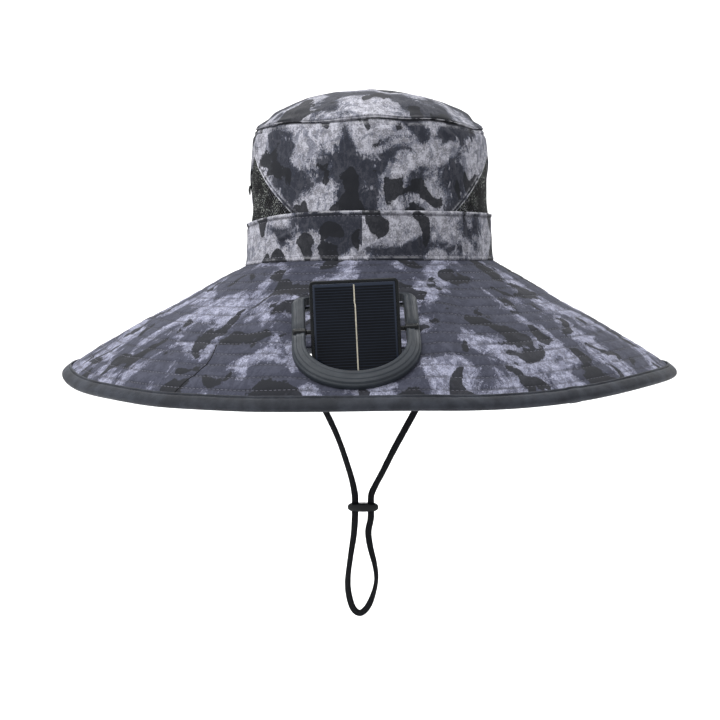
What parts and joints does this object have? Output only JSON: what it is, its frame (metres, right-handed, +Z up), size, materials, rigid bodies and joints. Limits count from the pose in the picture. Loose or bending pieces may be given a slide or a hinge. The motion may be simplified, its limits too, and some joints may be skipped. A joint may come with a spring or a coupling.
{
  "type": "solar fan hat",
  "caption": "Wide-brimmed cloth sun hat with net vents, bound rim, chin cord with lock, and a solar-powered fan that tilts in a D ring on the front of the brim.",
  "frame": {"origin": "centre of the head opening, in the plane of the seam between the crown and the brim", "axes": "+Z up through the crown, -Y to the hat's front where the fan unit is, +X to the right seen from the front"},
  "size_m": [0.4384, 0.4644, 0.3795],
  "materials": {
    "crown_print": "mottled grey print on thin plain-weave cloth",
    "brim_print": "mottled blue-grey print on stiffened, row-stitched cloth",
    "vent_net": "black net",
    "edge_tape": "charcoal bias tape",
    "ring_plastic": "satin dark grey",
    "housing_plastic": "satin black",
    "solar_cell": "clear resin over dark cells",
    "fan_plastic": "satin black",
    "stud_metal": "dark lacquered",
    "cord_braid": "flat black braid",
    "lock_plastic": "satin black"
  },
  "bodies": {
    "hat": {"crown_tip": "crown_print", "crown_front": "crown_print", "crown_back": "crown_print", "crown_band": "crown_print", "vent_net_left": "vent_net", "vent_net_right": "vent_net", "brim": "brim_print", "rim_binding": "edge_tape", "fan_ring": "ring_plastic", "ring_retainer": "ring_plastic", "side_stud": "stud_metal", "chin_cord": "cord_braid", "cord_lock": "lock_plastic"},
    "fan_module": {"fan_housing": "housing_plastic", "solar_panel": "solar_cell", "fan_guard": "fan_plastic"},
    "rotor": {"fan_rotor": "fan_plastic"}
  },
  "joints": [
    {"name": "module_tilt", "type": "hinge", "parent": "hat", "child": "fan_module", "pos_m": [0, -0.17573, -0.04365], "axis": [0.9968, 0.0665, 0.0448], "range_deg": [-46, 26]},
    {"name": "fan_spin", "type": "hinge", "parent": "fan_module", "child": "rotor", "pos_m": [0, -0.17573, -0.04365], "axis": [0.0577, -0.9829, 0.1749], "continuous": true}
  ]
}
